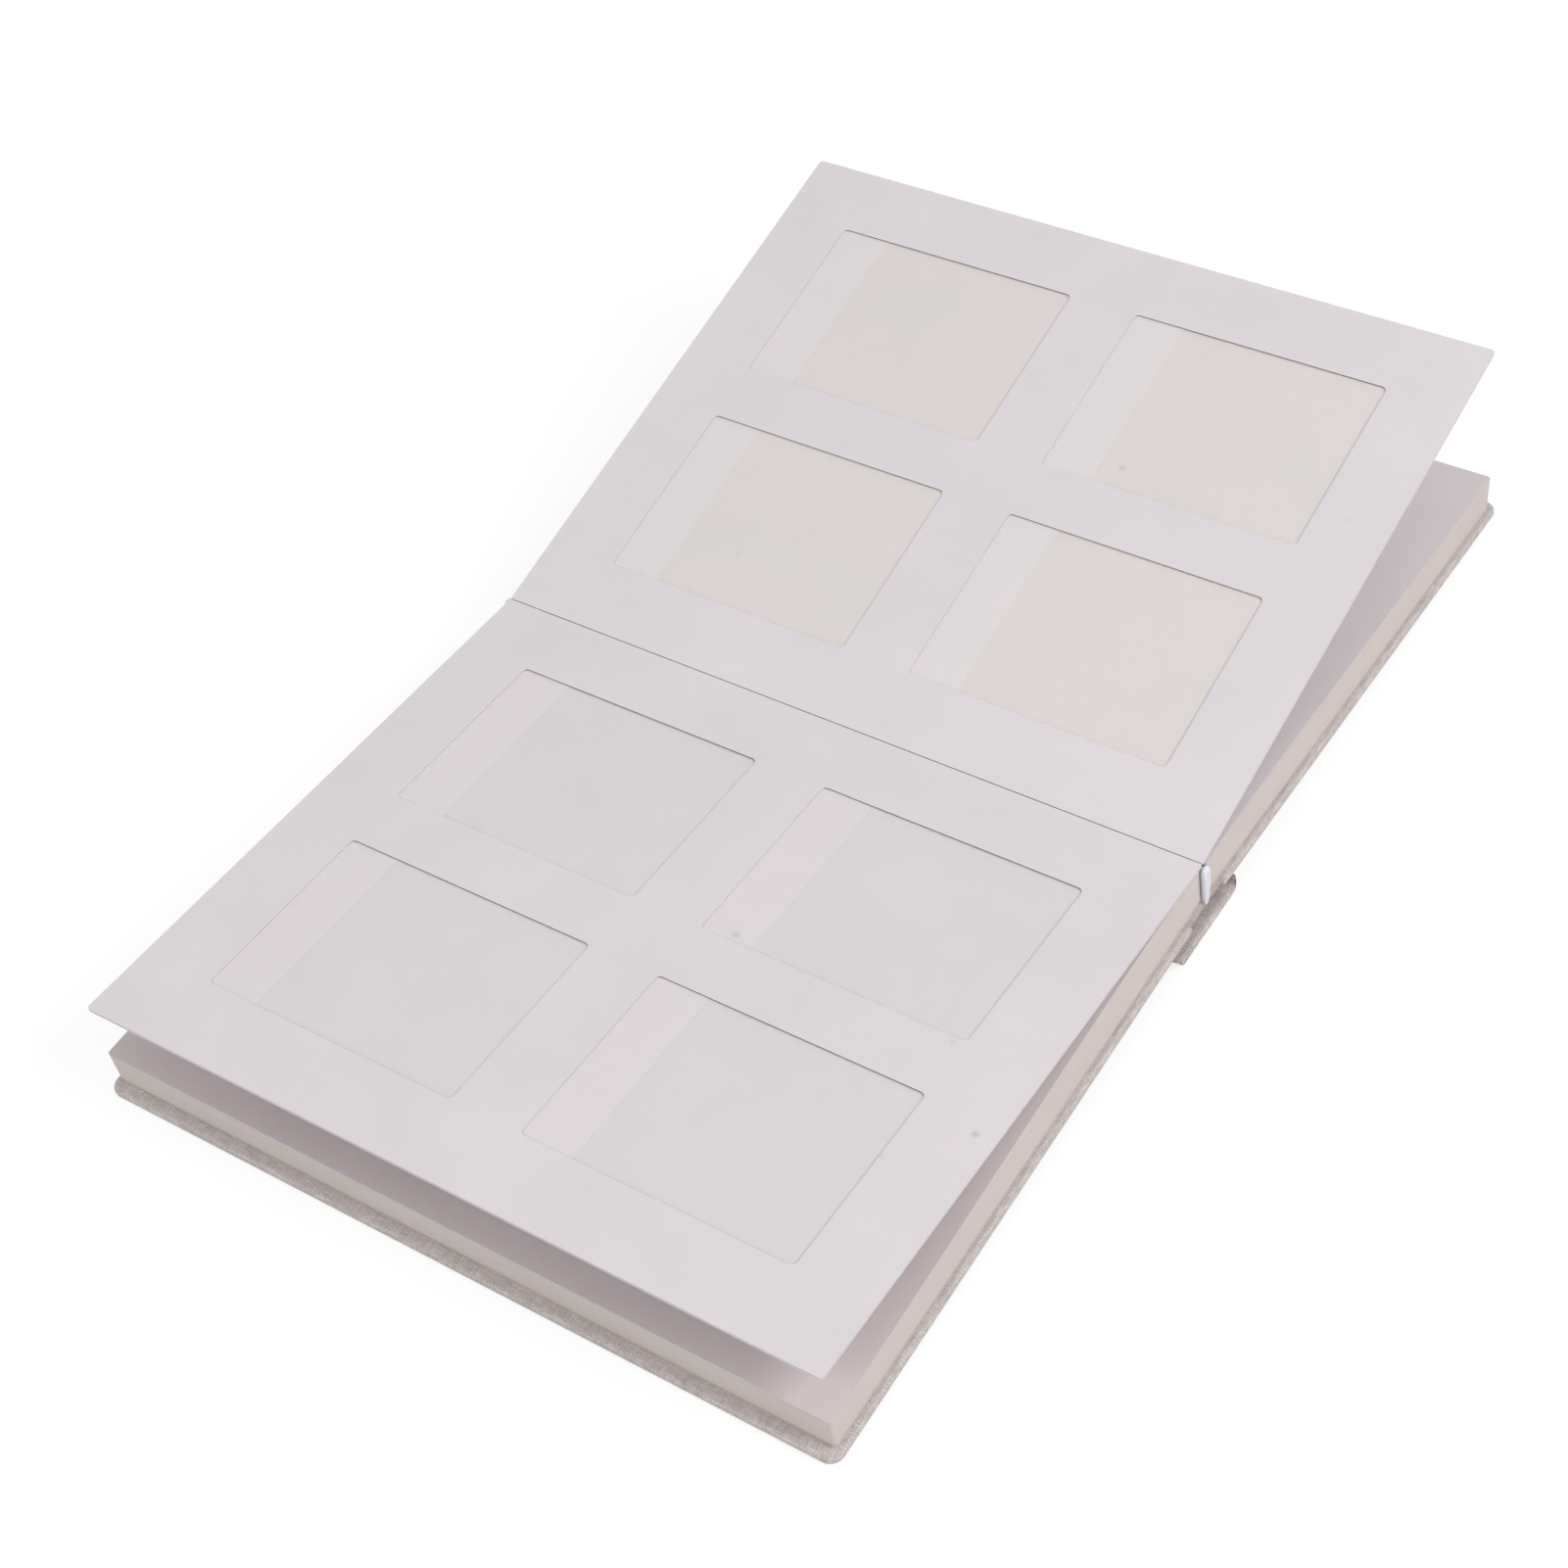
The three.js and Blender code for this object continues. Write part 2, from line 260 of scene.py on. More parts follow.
def linen(name, light, warm, cool):
    """Plain weave from the cloth's own flat coordinates, with slubs and mottled threads, and
    painted shade where the threads dip.
    """
    m, nodes, links, shader = new_material(
        name, {"Roughness": 0.92, "Specular IOR Level": 0.2, "Sheen Weight": 0.12,
               "Sheen Roughness": 0.5},
    )
    flat = node(nodes, "ShaderNodeUVMap", uv_map="cloth").outputs[0]
    sway = node(nodes, "ShaderNodeTexNoise")
    sway.inputs["Scale"].default_value = 120
    sway.inputs["Detail"].default_value = 2.0
    links.new(flat, sway.inputs["Vector"])
    centred = node(nodes, "ShaderNodeVectorMath", operation="SUBTRACT")
    links.new(sway.outputs["Color"], centred.inputs[0])
    centred.inputs[1].default_value = (0.5, 0.5, 0.5)
    shift = scaled(nodes, links, centred.outputs[0], (0.0007, 0.0007, 0.0))
    moved = node(nodes, "ShaderNodeVectorMath", operation="ADD")
    links.new(flat, moved.inputs[0])
    links.new(shift, moved.inputs[1])
    threads = scaled(nodes, links, moved.outputs[0], (1 / THREAD_PITCH, 1 / THREAD_PITCH, 1.0))
    parts = node(nodes, "ShaderNodeSeparateXYZ")
    links.new(threads, parts.inputs[0])
    u, v = parts.outputs[0], parts.outputs[1]
    wave_u = maths(nodes, links, "SINE", maths(nodes, links, "MULTIPLY", u, math.pi))
    wave_v = maths(nodes, links, "SINE", maths(nodes, links, "MULTIPLY", v, math.pi))
    product = maths(nodes, links, "MULTIPLY", wave_u, wave_v)
    over = node(nodes, "ShaderNodeMapRange", interpolation_type="SMOOTHSTEP")
    over.inputs["From Min"].default_value = -0.35
    over.inputs["From Max"].default_value = 0.35
    links.new(product, over.inputs["Value"])
    over = over.outputs[0]
    crown_u = maths(nodes, links, "ABSOLUTE", wave_u)
    crown_v = maths(nodes, links, "ABSOLUTE", wave_v)
    height = node(nodes, "ShaderNodeMix", data_type="FLOAT")
    links.new(over, height.inputs[0])
    links.new(crown_u, height.inputs[2])
    links.new(crown_v, height.inputs[3])
    height = height.outputs[0]
    along = node(nodes, "ShaderNodeCombineXYZ")
    links.new(maths(nodes, links, "FLOOR", u), along.inputs[0])
    links.new(maths(nodes, links, "MULTIPLY", v, 0.07), along.inputs[1])
    warp = noise(nodes, links, along.outputs[0], 1.7, 2.0)
    across = node(nodes, "ShaderNodeCombineXYZ")
    links.new(maths(nodes, links, "MULTIPLY", u, 0.07), across.inputs[0])
    links.new(maths(nodes, links, "FLOOR", v), across.inputs[1])
    across.inputs[2].default_value = 9.0
    weft = noise(nodes, links, across.outputs[0], 1.7, 2.0)
    thread = node(nodes, "ShaderNodeMix", data_type="FLOAT")
    links.new(over, thread.inputs[0])
    links.new(warp, thread.inputs[2])
    links.new(weft, thread.inputs[3])
    colour = ramp(nodes, links, thread.outputs[0], 0.38, 0.66, cool, light)
    hue = noise(nodes, links, flat, 900, 1.0)
    colour = multiply(
        nodes, links, colour,
        ramp(nodes, links, hue, 0.35, 0.65, (1.0, 1.0, 1.0, 1.0), warm),
    )
    # Painted shade: the colour darkens where the threads dip between one another.
    weave_dip_shade = ramp(
        nodes, links, height, 0.15, 0.75,
        (0.66, 0.63, 0.61, 1.0), (1.0, 1.0, 1.0, 1.0),
    )
    colour = multiply(nodes, links, colour, weave_dip_shade)
    links.new(colour, shader.inputs["Base Color"])
    fuzz = noise(nodes, links, flat, 5200, 2.0)
    slub = maths(nodes, links, "MULTIPLY_ADD", thread.outputs[0], 0.6, height)
    total = maths(nodes, links, "MULTIPLY_ADD", fuzz, 0.35, slub)
    bump(nodes, links, shader, total, 0.00012, 0.7)
    return m


def page_edges(name, light, dark):
    """The cut edges of the pages: faint lines along them, and a slight tone from leaf to leaf."""
    m, nodes, links, shader = new_material(
        name, {"Roughness": 0.8, "Specular IOR Level": 0.25},
    )
    where = node(nodes, "ShaderNodeTexCoord").outputs["Object"]
    streak = noise(nodes, links, scaled(nodes, links, where, (30, 30, 2600)), 1.0, 2.0)
    colour = ramp(nodes, links, streak, 0.3, 0.7, dark, light)
    blot = noise(nodes, links, where, 70, 2.0)
    colour = multiply(
        nodes, links, colour,
        ramp(nodes, links, blot, 0.3, 0.7, (0.975, 0.975, 0.97, 1.0), (1.0, 1.0, 1.0, 1.0)),
    )
    links.new(colour, shader.inputs["Base Color"])
    grain = noise(nodes, links, where, 3000, 2.0)
    height = maths(nodes, links, "MULTIPLY_ADD", streak, 1.2, grain)
    bump(nodes, links, shader, height, 0.00003, 0.3)
    return m


def film(name, colour, alpha):
    """Clear pocket film: a soft gloss, very slightly uneven."""
    m, nodes, links, shader = new_material(
        name, {"Base Color": colour, "Alpha": alpha, "IOR": 1.45, "Coat Weight": 0.25,
               "Coat Roughness": 0.12},
    )
    where = node(nodes, "ShaderNodeTexCoord").outputs["Object"]
    haze = noise(nodes, links, where, 55, 2.0)
    rough = maths(nodes, links, "MULTIPLY_ADD", haze, 0.12, 0.16)
    links.new(rough, shader.inputs["Roughness"])
    bump(nodes, links, shader, noise(nodes, links, where, 26, 1.0), 0.00025, 0.12)
    return m


def ribbon(name, colour, shade):
    """Headband ribbon: fine ribs across it, with painted shade in the troughs between them."""
    m, nodes, links, shader = new_material(
        name, {"Roughness": 0.55, "Specular IOR Level": 0.4, "Sheen Weight": 0.15},
    )
    flat = node(nodes, "ShaderNodeUVMap", uv_map="cloth").outputs[0]
    parts = node(nodes, "ShaderNodeSeparateXYZ")
    links.new(flat, parts.inputs[0])
    rib = maths(
        nodes, links, "SINE",
        maths(nodes, links, "MULTIPLY", parts.outputs[0], 2 * math.pi / 0.0005),
    )
    # Painted shade: the colour goes to the darker tone in the troughs of the ribs.
    links.new(ramp(nodes, links, rib, -1, 1, shade, colour), shader.inputs["Base Color"])
    fuzz = noise(nodes, links, flat, 4000, 2.0)
    bump(nodes, links, shader, maths(nodes, links, "MULTIPLY_ADD", fuzz, 0.5, rib), 0.00004, 0.35)
    return m


LEAF_TILT = {s: tilt_of(f"{s}_leaf_front_card", k) for s, k in SIDES.items()}

# Specks of dust on the pages: side, u and y on the leaf, radius, depth
SPECKS = (
    ("right", 93.2, -29.0, 1.3, 0.26), ("right", 34.3, 49.6, 1.2, 0.10),
    ("right", 98.4, -87.1, 1.0, 0.05), ("left", 68.3, -17.5, 1.3, 0.26),
    ("left", 72.0, -76.2, 1.2, 0.10), ("left", 91.1, -93.1, 1.15, 0.26),
    ("left", 105.7, -79.2, 1.1, 0.09),
)


def specks_of(name):
    made = []
    for s, u, y, radius, depth in SPECKS:
        if s == name:
            at = place(SIDES[s], LEAF_TILT[s], u * MM, y * MM, 0.75 * MM)
            made.append((tuple(at), radius * MM, depth))
    return made


card_of = {
    s: paper(
        f"{s}_card", srgb(221, 215, 219), srgb(225, 219, 223), 0.72, specks_of(s),
    ) for s in SIDES
}
card_plain = paper("card_plain", srgb(219, 213, 217), srgb(223, 218, 221), 0.72)
card_cut = paper("card_cut", srgb(222, 215, 217), srgb(229, 222, 224), 0.85)
# Painted shade: a dark brown for the window walls on the +X side, standing in for the shade on
# them.
card_painted_shade = paper("card_painted_shade", srgb(112, 97, 88), srgb(130, 114, 104), 0.9)
pocket_paper = {
    "right": paper(
        "right_pocket_paper", srgb(226, 222, 219), srgb(230, 222, 222), 0.6, specks_of("right"),
    ),
    "left": paper(
        "left_pocket_paper", srgb(224, 219, 223), srgb(227, 222, 226), 0.6, specks_of("left"),
    ),
}
strip_paper = {
    "right": paper(
        "right_strip_paper", srgb(230, 225, 226), srgb(232, 226, 228), 0.55, specks_of("right"),
    ),
    "left": paper(
        "left_strip_paper", srgb(229, 223, 228), srgb(231, 225, 229), 0.55, specks_of("left"),
    ),
}
# The top pages under the raised leaves: their card colour darkened for painted shade from the leaf
# above, the left one darker and warmer than the right.
page_top_shaded_paper = {
    "right": paper("right_page_top_paper", srgb(214, 207, 209), srgb(219, 212, 214), 0.75),
    "left": paper("left_page_top_paper", srgb(210, 199, 199), srgb(215, 204, 204), 0.75),
}
endpaper_paper = paper("endpaper_paper", srgb(214, 205, 199), srgb(220, 212, 206), 0.8)
liner_paper = paper("liner_paper", srgb(176, 164, 154), srgb(188, 176, 166), 0.9)
edge_paper = page_edges("edge_paper", srgb(212, 202, 198), srgb(206, 195, 190))
cloth_linen = linen(
    "cloth_linen", srgb(229, 221, 219), (1.0, 0.98, 0.965, 1.0), srgb(196, 188, 187),
)
lining_linen = paper("lining_linen", srgb(205, 200, 190), srgb(218, 213, 204), 0.95)
clear_film = film("clear_film", srgb(240, 236, 236), 0.12)
band_ribbon = ribbon("band_ribbon", srgb(236, 235, 243), srgb(222, 221, 232))


# Mesh making
def finish_piece(bm, name, body, slot, materials, smooth_angle=None, to_world=None):
    """Turns a bmesh into a piece that rides on its body. to_world places flat work in the frame."""
    if to_world is not None:
        for v in bm.verts:
            v.co = to_world(*v.co)
    bmesh.ops.recalc_face_normals(bm, faces=bm.faces)
    mesh = bpy.data.meshes.new(name)
    bm.to_mesh(mesh)
    bm.free()
    for m in materials:
        mesh.materials.append(m)
    if smooth_angle is not None:
        mesh.set_sharp_from_angle(angle=math.radians(smooth_angle))
        for p in mesh.polygons:
            p.use_smooth = True
    made = bpy.data.objects.new(name, mesh)
    bpy.context.scene.collection.objects.link(made)
    if body:
        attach(made, body)
    return made


def outline(u0, u1, y0, y1, radius, steps=6, near=None):
    """Points of a rounded rectangle, anticlockwise. near is the radius beside the fold."""
    near = radius if near is None else near
    points = []
    corners = (
        (u1 - radius, y1 - radius, 0, radius), (u0 + near, y1 - near, 90, near),
        (u0 + near, y0 + near, 180, near), (u1 - radius, y0 + radius, 270, radius),
    )
    for cu, cy, start, r in corners:
        for i in range(steps + 1):
            a = math.radians(start + 90 * i / steps)
            points.append((cu + r * math.cos(a), cy + r * math.sin(a)))
    return points


def ring(bm, points, n):
    return [bm.verts.new((u, y, n)) for u, y in points]


def bend(bm, stops, lift):
    """Cuts flat work across at the stops, and raises each point by lift(u, n)."""
    for u in stops:
        everything = bm.verts[:] + bm.edges[:] + bm.faces[:]
        bmesh.ops.bisect_plane(bm, geom=everything, plane_co=(u, 0, 0), plane_no=(1, 0, 0))
    for v in bm.verts:
        v.co.z += lift(v.co.x, v.co.z)


def through(points, u):
    """A smooth value at u through a list of (u in mm, value in mm)."""
    if u >= points[-1][0] * MM:
        return points[-1][1] * MM
    for (u0, v0), (u1, v1) in zip(points, points[1:]):
        if u <= u1 * MM:
            t = max(0.0, (u / MM - u0) / (u1 - u0))
            t = t * t * (3 - 2 * t) * 0.5 + t * 0.5
            return (v0 + (v1 - v0) * t) * MM
    return 0.0


def wall(bm, low, high, index):
    """A strip of faces between two rings of points."""
    for i in range(len(low)):
        j = (i + 1) % len(low)
        f = bm.faces.new((low[i], low[j], high[j], high[i]))
        f.material_index = index


def add_plate(bm, outer, holes, n0, n1, face_index=0, wall_index=0, hole_index=None):
    """A flat plate with holes, its walls in a material of their own."""
    for n in (n0, n1):
        loops = [ring(bm, outer, n)] + [ring(bm, h, n) for h in holes]
        edges = []
        for loop in loops:
            edges += [
                bm.edges.new((loop[i], loop[(i + 1) % len(loop)])) for i in range(len(loop))
            ]
        made = bmesh.ops.triangle_fill(bm, use_beauty=True, edges=edges)
        for g in made["geom"]:
            if isinstance(g, bmesh.types.BMFace):
                g.material_index = face_index
        if n == n0:
            low = loops
        else:
            high = loops
    for k, (a, b) in enumerate(zip(low, high)):
        index = wall_index if k == 0 or hole_index is None else hole_index
        wall(bm, a, b, index)


def dark_side(bm, side, index, dark_index):
    """Painted shade: the window walls on the +X side of each cut, which face -X, take a dark brown
    card colour in place of their shadow.
    """
    bm.normal_update()
    for f in bm.faces:
        if f.material_index == index and abs(f.normal.x) > 0.7:
            walls = [v.co.x for v in f.verts]
            middle = sum(walls) / len(walls)
            over = [
                (u0 + u1) / 2 for u0, u1, _, _ in window_outlines(side)
                if u0 - 0.1 * MM <= middle <= u1 + 0.1 * MM
            ]
            if over and (middle - over[0]) * SIDES[side] > 0:
                f.material_index = dark_index


def window_outlines(name):
    """The four windows of a leaf, from the pocket films behind them."""
    side, tilt = SIDES[name], LEAF_TILT[name]
    found = []
    for label in LABELS:
        low, high = span(f"{name}_pocket_film_{label}", side, tilt)
        u0, u1 = low[0] + POCKET_MARGIN_ACROSS, high[0] - POCKET_MARGIN_ACROSS
        y0, y1 = low[1] + POCKET_MARGIN_ALONG, high[1] - POCKET_MARGIN_ALONG
        found.append((u0, u1, y0, y1))
    return found


def leaf_pieces(name):
    """The raised leaf of one side: back card, core, front card with windows, strips, films."""
    side, tilt = SIDES[name], LEAF_TILT[name]
    body = f"{name}_half"

    def to_world(u, y, n):
        return place(side, tilt, u, y, n)

    made = []
    windows = [outline(*w, WINDOW_RADIUS) for w in window_outlines(name)]
    for part, holes, surface, near in (
        ("leaf_back_card", [], card_plain, LEAF_NEAR[name] + 0.1 * MM),
        ("leaf_core", [], pocket_paper[name], LEAF_NEAR[name] + 0.1 * MM),
        ("leaf_front_card", windows, card_of[name], LEAF_NEAR[name]),
    ):
        source = f"{name}_{part}"
        low, high = span(source, side, tilt)
        bm = bmesh.new()
        outer = outline(near, high[0], low[1], high[1], LEAF_RADIUS, near=FOLD_RADIUS)
        add_plate(bm, outer, holes, low[2], high[2], 0, 1, 2)
        # Painted shade goes on the window walls on the +X side of each window.
        dark_side(bm, name, 2, 3)
        piece = finish_piece(
            bm, f"{name}_{part}_paper", body, "page_card",
            [surface, card_plain, card_cut, card_painted_shade], to_world=to_world,
        )
        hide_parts(source)
        made.append(piece)
    for part, surface, slot, radius in (
        ("pocket_strip", strip_paper[name], "pocket_strip", 0.5 * MM),
        ("pocket_film", clear_film, "pocket_film", WINDOW_RADIUS),
    ):
        bm = bmesh.new()
        for label in LABELS:
            low, high = span(f"{name}_{part}_{label}", side, tilt)
            outer = outline(low[0], high[0], low[1], high[1], radius, 4)
            add_plate(bm, outer, [], low[2], high[2])
        piece = finish_piece(bm, f"{name}_{part}s", body, slot, [surface], to_world=to_world)
        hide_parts(*[f"{name}_{part}_{label}" for label in LABELS])
        made.append(piece)

    # How far the leaf stands above the pages under it is worked out but not used; each piece gets a
    # mesh of its own
    stack_low, stack_high = span(f"{name}_page_stack", side, -SLOPE)
    top = stack_high[2]
    lift = max((place(side, tilt, u, 0, n) - place(side, -SLOPE, 0, 0, top)).dot(
        place(side, -SLOPE, 0, 0, 1) - place(side, -SLOPE, 0, 0, 0)
    ) for u, n in ((stack_high[0], 0.8 * MM), (0, 0.8 * MM)))
    for piece in made:
        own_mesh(piece)


def stack_pieces(name):
    """The pages under the raised leaf, one leaf on another, the top one with windows."""
    side = SIDES[name]
    body = f"{name}_half"

    def to_world(u, y, n):
        return place(side, -SLOPE, u, y, n)

    source = f"{name}_page_stack"
    low, high = span(source, side, -SLOPE)
    depth = high[2] - low[2]
    stops = [
        u * MM for u in (3, 5, 8, 11, 15, 20, 26, 33, 41, 50, 60, 72, 85, 98, 112, 126, 140, 150)
    ]

    def lift(u, n):
        share = min(1.0, max(0.0, (n - low[2]) / depth))
        return through(SWELL[name], u) * share ** 1.2

    count = round(depth / LEAF_PITCH)
    pitch = depth / count
    bm = bmesh.new()
    for i in range(count):
        n0 = low[2] + (i * pitch if i else BOTTOM_GAP)
        n1 = low[2] + (i + 1) * pitch - (TOP_LEAF_GAP if i == count - 2 else LEAF_GAP)
        if i == count - 1:
            n1 = high[2] - TOP_CARD
        stray = [random.uniform(0, LEAF_STRAY) for _ in range(3)]
        outer = outline(
            low[0], high[0] - stray[0], low[1] + stray[1], high[1] - stray[2],
            PAGE_RADIUS, near=FOLD_RADIUS,
        )
        add_plate(bm, outer, [], n0, n1, 1, 0)
    bend(bm, stops, lift)
    block = finish_piece(
        bm, f"{name}_page_block", body, "page_block", [edge_paper, pocket_paper[name]],
        30, to_world,
    )
    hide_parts(source)

    bm = bmesh.new()
    windows = window_outlines(name)
    outer = outline(low[0], high[0], low[1], high[1], PAGE_RADIUS, near=FOLD_RADIUS)
    holes = [outline(*w, WINDOW_RADIUS) for w in windows]
    add_plate(bm, outer, holes, high[2] - TOP_CARD, high[2], 0, 1, 2)
    bend(bm, stops, lift)
    top = finish_piece(
        bm, f"{name}_page_top", body, "page_card",
        [page_top_shaded_paper[name], edge_paper, card_cut], 30, to_world,
    )
    bm = bmesh.new()
    for u0, u1, y0, y1 in windows:
        outer = outline(u0, u1, y0, y1, WINDOW_RADIUS)
        base = high[2] - TOP_CARD
        add_plate(bm, outer, [], base + 0.02 * MM, base + 0.06 * MM)
    bend(bm, stops, lift)
    films = finish_piece(
        bm, f"{name}_page_top_films", body, "pocket_film", [clear_film], 30, to_world,
    )

    # Where the swell rises near the fold, each piece gets a mesh of its own; nothing presses it
    # flat here
    peak = high[2] + max(v for _, v in SWELL[name]) * MM
    if peak > -0.05 * MM:
        for piece in (block, top, films):
            to_world(0, 0, 1) - to_world(0, 0, 0)
            to_world(0, 0, low[2])
            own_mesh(piece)


def box_flat(bm):
    """Flat cloth coordinates in metres, each face seen along its main direction."""
    layer = bm.loops.layers.uv.new("cloth")
    bm.normal_update()
    for f in bm.faces:
        n = [abs(x) for x in f.normal]
        skip = n.index(max(n))
        keep = [i for i in range(3) if i != skip]
        for loop in f.loops:
            loop[layer].uv = (loop.vert.co[keep[0]], loop.vert.co[keep[1]])


def cover_piece(name):
    """A cover board in its cloth: soft edges, round outer corners."""
    side = SIDES[name]

    def to_world(u, y, n):
        return place(side, -SLOPE, u, y, n)

    low, high = span(f"{name}_cover_cloth", side, -SLOPE)
    steps = 7
    rings = []
    bm = bmesh.new()
    for end in (-1, 1):
        face = low[2] if end < 0 else high[2]
        for i in range(steps + 1):
            a = math.radians(90 * (i / steps if end > 0 else 1 - i / steps))
            inset = COVER_EDGE * (1 - math.cos(a))
            n = face - end * COVER_EDGE * (1 - math.sin(a))
            points = outline(
                low[0] + inset, high[0] - inset, low[1] + inset, high[1] - inset,
                max(COVER_RADIUS - inset, 0.4 * MM), 10,
            )
            points = [
                (u, y) if u > (low[0] + high[0]) / 2 else shaped_inner(u, y, low, high, inset)
                for u, y in points
            ]
            rings.append(ring(bm, points, n))
    for a, b in zip(rings, rings[1:]):
        wall(bm, a, b, 0)
    bm.faces.new(rings[0])
    bm.faces.new(rings[-1])
    bmesh.ops.recalc_face_normals(bm, faces=bm.faces)
    box_flat(bm)
    piece = finish_piece(
        bm, f"{name}_cover", f"{name}_half", "linen", [cloth_linen], 40, to_world,
    )
    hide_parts(f"{name}_cover_cloth", f"{name}_cover_board")


def shaped_inner(u, y, low, high, inset):
    """Tightens the two corners beside the joint, where the cloth wraps a square board end."""
    near = COVER_RADIUS
    small = COVER_INNER_RADIUS
    for y_edge, sign in ((low[1] + inset, 1), (high[1] - inset, -1)):
        du = u - (low[0] + inset)
        dy = sign * (y - y_edge)
        if du < near and dy < near:
            return (low[0] + inset + du * small / near, y_edge + sign * dy * small / near)
    return (u, y)


def spine_piece():
    """The spine: a board in cloth, and the cloth that rises from its edges into the joints."""
    low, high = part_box("spine_cloth")
    board_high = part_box("spine_board")[1]
    half_width = board_high.x + SPINE_BOARD_EDGE
    bulge = high.x - half_width
    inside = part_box("spine_liner")[0].z + CLOTH
    under = span("right_cover_cloth", 1, -SLOPE)[0][2]
    rise = (
        FOLD - (half_width + bulge) * math.tan(SLOPE) + under / math.cos(SLOPE) - 0.12 * MM
    )
    corner_x, corner_z = SPINE_CORNER

    def half_section(swell_of):
        """Half of the case in section: out along the bottom, up the flange, and back inside."""
        outside = [(half_width * 0.5, 0.0), (half_width - corner_x, 0.0)]
        for i in range(1, 10):
            a = math.radians(90 * i / 10)
            outside.append((
                half_width - corner_x * (1 - math.sin(a)), corner_z * (1 - math.cos(a)),
            ))
        for i in range(13):
            t = i / 12
            outside.append((half_width + swell_of(t), corner_z + (rise - corner_z) * t))
        inner = []
        for i, (x, z) in enumerate(outside):
            x0, z0 = outside[max(i - 1, 0)]
            x1, z1 = outside[min(i + 1, len(outside) - 1)]
            d = Vector((x1 - x0, z1 - z0)).normalized()
            px, pz = x - d.y * CLOTH * 1.3, z + d.x * CLOTH * 1.3
            if pz > inside + 0.6 * MM:
                inner.append((px, pz))
        inner = [(half_width * 0.4, inside), (inner[0][0] - 1.6 * MM, inside),
                 (inner[0][0] - 0.5 * MM, inside + 0.18 * MM)] + inner
        return outside + [
            (outside[-1][0] - 0.1 * MM, outside[-1][1] + 0.1 * MM),
            (outside[-1][0] - CLOTH * 1.1, outside[-1][1] + 0.1 * MM),
        ] + inner[::-1]

    # In the photograph the right flange stands up straight and the left one bellies out
    right = half_section(lambda t: -0.3 * bulge * t * t)
    left = half_section(lambda t: bulge * math.sin(math.pi * min(1.0, t * 1.5) / 2))
    section = right + [(-x, z) for x, z in left][::-1]
    # Rows along the spine, closer towards the ends: y, and how far the end is rounded off
    ends = [(0.0, 0.0)]
    for sign in (-1, 1):
        for back_off in (16, 13.8, 6, 4, 2.5):
            ends.append((sign * (high.y - back_off * MM), 0.0))
        for i in range(6):
            a = math.radians(90 * i / 5)
            ends.append((
                sign * (high.y - SPINE_END * (1 - math.sin(a))), SPINE_END * (1 - math.cos(a)),
            ))
    ends.sort(key=lambda e: e[0])
    bm = bmesh.new()
    layer = bm.loops.layers.uv.new("cloth")
    count = len(section)
    rows = []
    thin = half_width - corner_x * 0.4
    for y, inset in ends:
        row = []
        for i, (x, z) in enumerate(section):
            x0, z0 = section[i - 1]
            x1, z1 = section[(i + 1) % count]
            d = Vector((x1 - x0, z1 - z0))
            d = d.normalized() if d.length > 1e-9 else Vector((1, 0))
            lift = min(inset, CLOTH * 0.45) if abs(x) > thin else inset
            row.append(bm.verts.new((x - d.y * lift, y, z + d.x * lift)))
        rows.append(row)
    length = [0.0]
    for i in range(count):
        x0, z0 = section[i]
        x1, z1 = section[(i + 1) % count]
        length.append(length[-1] + math.hypot(x1 - x0, z1 - z0))
    for r in range(len(rows) - 1):
        for i in range(count):
            j = (i + 1) % count
            f = bm.faces.new((rows[r][i], rows[r][j], rows[r + 1][j], rows[r + 1][i]))
            along = (length[i], length[i + 1], length[i + 1], length[i])
            across = (ends[r][0], ends[r][0], ends[r + 1][0], ends[r + 1][0])
            for k, loop in enumerate(f.loops):
                loop[layer].uv = (along[k], across[k])
    for row in (rows[0], rows[-1]):
        f = bm.faces.new(row)
        for loop in f.loops:
            loop[layer].uv = (loop.vert.co.x, loop.vert.co.z)
        bmesh.ops.triangulate(bm, faces=[f])
    piece = finish_piece(bm, "spine_case", "spine", "linen", [cloth_linen], 50)
    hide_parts("spine_cloth", "spine_board")


def joint_piece(name):
    """Cloth on the underside of the endpaper, from the back of the pages to the cover board."""
    side = SIDES[name]

    def to_world(u, y, n):
        return place(side, -SLOPE, u, y, n)

    paper_low, _ = span(f"{name}_endpaper", side, -SLOPE)
    cover_low, cover_high = span(f"{name}_cover_cloth", side, -SLOPE)
    top = paper_low[2] - 0.02 * MM
    start = paper_low[0] + 0.4 * MM
    stop = cover_low[0] + 0.9 * MM
    path = []
    for i in range(9):
        t = i / 8
        path.append((start + (stop - start) * t, top - 0.25 * MM * max(0.0, t - 0.75) * 4))
    thick = 0.28 * MM
    bm = bmesh.new()
    layer = bm.loops.layers.uv.new("cloth")
    y0, y1 = cover_low[1] + 0.35 * MM, cover_high[1] - 0.35 * MM
    rows = []
    for y in (y0, y1):
        rows.append(
            [bm.verts.new(to_world(u, y, n)) for u, n in path]
            + [bm.verts.new(to_world(u, y, n - thick)) for u, n in reversed(path)]
        )
    count = len(rows[0])
    for i in range(count):
        j = (i + 1) % count
        f = bm.faces.new((rows[0][i], rows[0][j], rows[1][j], rows[1][i]))
        a, b = i * 0.9 * MM, (i + 1) * 0.9 * MM
        for loop, uv in zip(f.loops, ((a, y0), (b, y0), (b, y1), (a, y1))):
            loop[layer].uv = uv
    for row in rows:
        bm.faces.new(row)
    finish_piece(bm, f"{name}_joint_cloth", f"{name}_half", "linen", [cloth_linen], 40)


